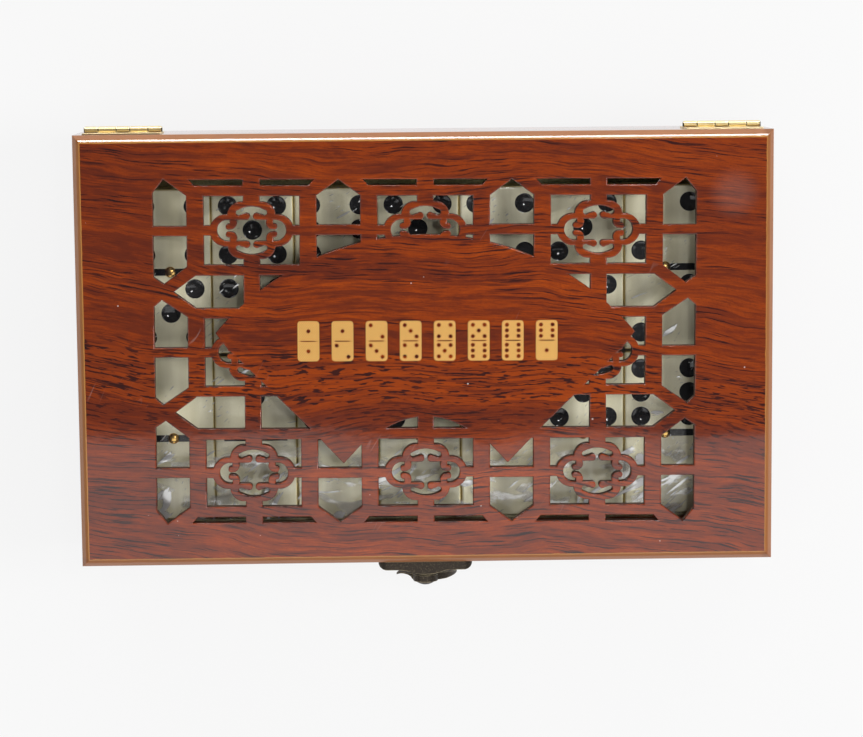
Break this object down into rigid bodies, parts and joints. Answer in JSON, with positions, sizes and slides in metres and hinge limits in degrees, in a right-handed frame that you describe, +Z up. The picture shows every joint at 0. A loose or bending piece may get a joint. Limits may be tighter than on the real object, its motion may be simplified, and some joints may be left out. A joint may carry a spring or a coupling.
{
  "type": "domino storage box",
  "caption": "Rectangular wooden game case with a hinged fretwork lid, brass butt hinges and a cast hook latch, packed with layers of film-wrapped dominoes.",
  "frame": {"origin": "centre of the flat face that the closed box rests on", "axes": "+X along the hinge line, +Y towards the hinges, +Z up; the latch is on the -Y side"},
  "size_m": [0.209, 0.14, 0.036],
  "materials": {
    "rosewood_veneer": "gloss lacquer over streaked rosewood veneer, with tan painted rims",
    "olive_felt": "short-pile felt",
    "ivory_plastic": "polished cream plastic with black enamelled pips and divider",
    "clear_film": "thin clear crinkled shrink film",
    "polished_brass": "bright polished brass",
    "antique_bronze": "dark antiqued bronze, rubbed brighter on the edges"
  },
  "bodies": {
    "base": {"base_floor": "rosewood_veneer", "base_front_wall": "rosewood_veneer", "base_back_wall": "rosewood_veneer", "base_left_wall": "rosewood_veneer", "base_right_wall": "rosewood_veneer", "lining_floor": "olive_felt", "lining_walls": "olive_felt", "hinge_left_base_leaf": "polished_brass", "hinge_left_pin": "antique_bronze", "hinge_right_base_leaf": "polished_brass", "hinge_right_pin": "antique_bronze", "hinge_base_screws": "polished_brass", "latch_base_plate": "antique_bronze", "latch_stud": "antique_bronze", "latch_base_nails": "antique_bronze", "spinner_pins": "polished_brass", "shrink_film": "clear_film", "domino_0_0": "ivory_plastic", "domino_0_1": "ivory_plastic", "domino_0_2": "ivory_plastic", "domino_0_3": "ivory_plastic", "domino_0_4": "ivory_plastic", "domino_0_5": "ivory_plastic", "domino_0_6": "ivory_plastic", "domino_1_1": "ivory_plastic", "domino_1_2": "ivory_plastic", "domino_1_3": "ivory_plastic", "domino_1_4": "ivory_plastic", "domino_1_5": "ivory_plastic", "domino_1_6": "ivory_plastic", "domino_2_2": "ivory_plastic", "domino_2_3": "ivory_plastic", "domino_2_4": "ivory_plastic", "domino_2_5": "ivory_plastic", "domino_2_6": "ivory_plastic", "domino_3_3": "ivory_plastic", "domino_3_4": "ivory_plastic", "domino_3_5": "ivory_plastic", "domino_3_6": "ivory_plastic", "domino_4_4": "ivory_plastic", "domino_4_5": "ivory_plastic", "domino_4_6": "ivory_plastic", "domino_5_5": "ivory_plastic", "domino_5_6": "ivory_plastic", "domino_6_6": "ivory_plastic"},
    "lid": {"lid_fret_panel": "rosewood_veneer", "lid_front_rail": "rosewood_veneer", "lid_back_rail": "rosewood_veneer", "lid_left_rail": "rosewood_veneer", "lid_right_rail": "rosewood_veneer", "hinge_left_lid_leaf": "polished_brass", "hinge_right_lid_leaf": "polished_brass", "hinge_lid_screws": "polished_brass", "latch_lid_plate": "antique_bronze", "latch_rivet": "antique_bronze", "latch_lid_nails": "antique_bronze"},
    "hook": {"latch_hook": "antique_bronze"}
  },
  "joints": [
    {"name": "lid_hinge", "type": "hinge", "parent": "base", "child": "lid", "pos_m": [0, 0.06615, 0.023], "axis": [-1, 0, 0], "range_deg": [0, 180]},
    {"name": "latch_swing", "type": "hinge", "parent": "lid", "child": "hook", "pos_m": [-0.0007, -0.0703, 0.0293], "axis": [0, -1, 0], "range_deg": [-28, 80]}
  ]
}
